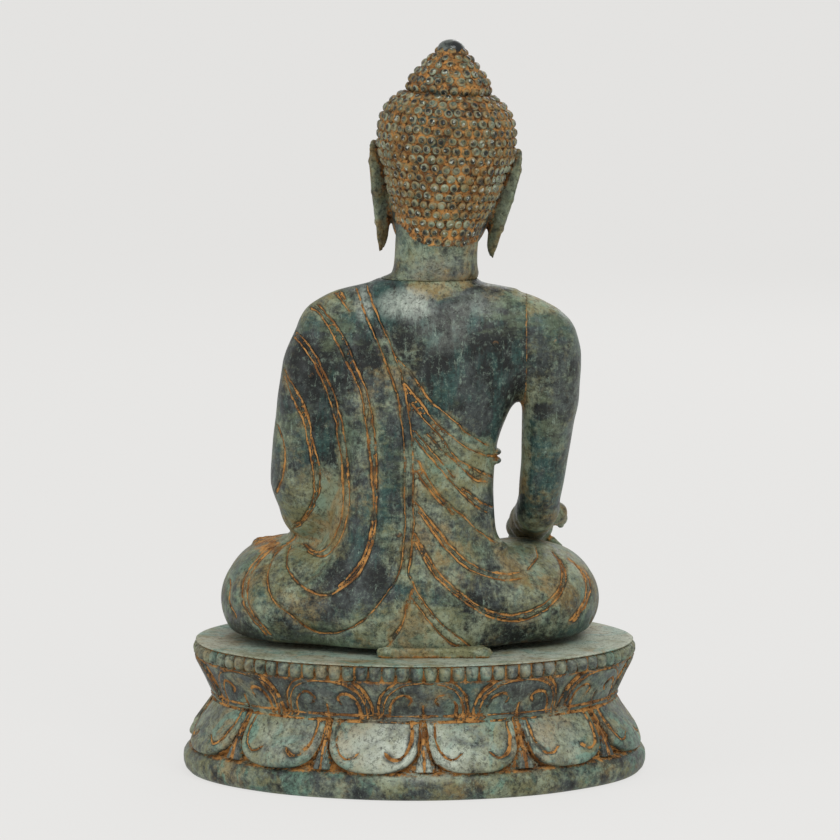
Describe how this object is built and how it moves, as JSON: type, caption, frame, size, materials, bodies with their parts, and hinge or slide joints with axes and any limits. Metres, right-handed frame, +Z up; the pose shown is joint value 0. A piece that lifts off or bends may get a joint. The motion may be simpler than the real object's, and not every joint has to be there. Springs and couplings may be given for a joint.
{
  "type": "buddha statue",
  "caption": "Seated buddha in antiqued bronze on a double lotus base, with a draped robe, curled hair, a jewelled crown and an alms bowl.",
  "frame": {"origin": "centre of the underside of the lotus base", "axes": "+Z up; the figure faces -Y, so its right side is towards -X; X runs along the long axis of the base's oval"},
  "size_m": [0.184, 0.138, 0.295],
  "materials": {
    "bronze_base": "antiqued satin",
    "bronze_figure": "antiqued satin",
    "bronze_head": "antiqued satin",
    "jewel": "polished dark",
    "bowl": "antiqued satin",
    "filler": "rough brazing metal",
    "plate": "dull copper sheet",
    "steel": "plain"
  },
  "bodies": {
    "root": {"lotus_base": "bronze_base", "base_plate": "plate", "seated_body": "bronze_figure", "head": "bronze_head", "right_arm": "bronze_figure", "ushnisha_jewel": "jewel", "alms_bowl": "bowl", "neck_sleeve": "filler", "neck_pins": "filler", "arm_dowel": "filler", "arm_pins": "filler", "core_pin_plugs": "filler", "rear_seat_lug": "filler", "front_seat_lugs": "filler", "cross_bar": "steel", "tie_rod": "steel", "tie_washer": "steel", "tie_nut": "steel"}
  },
  "joints": []
}
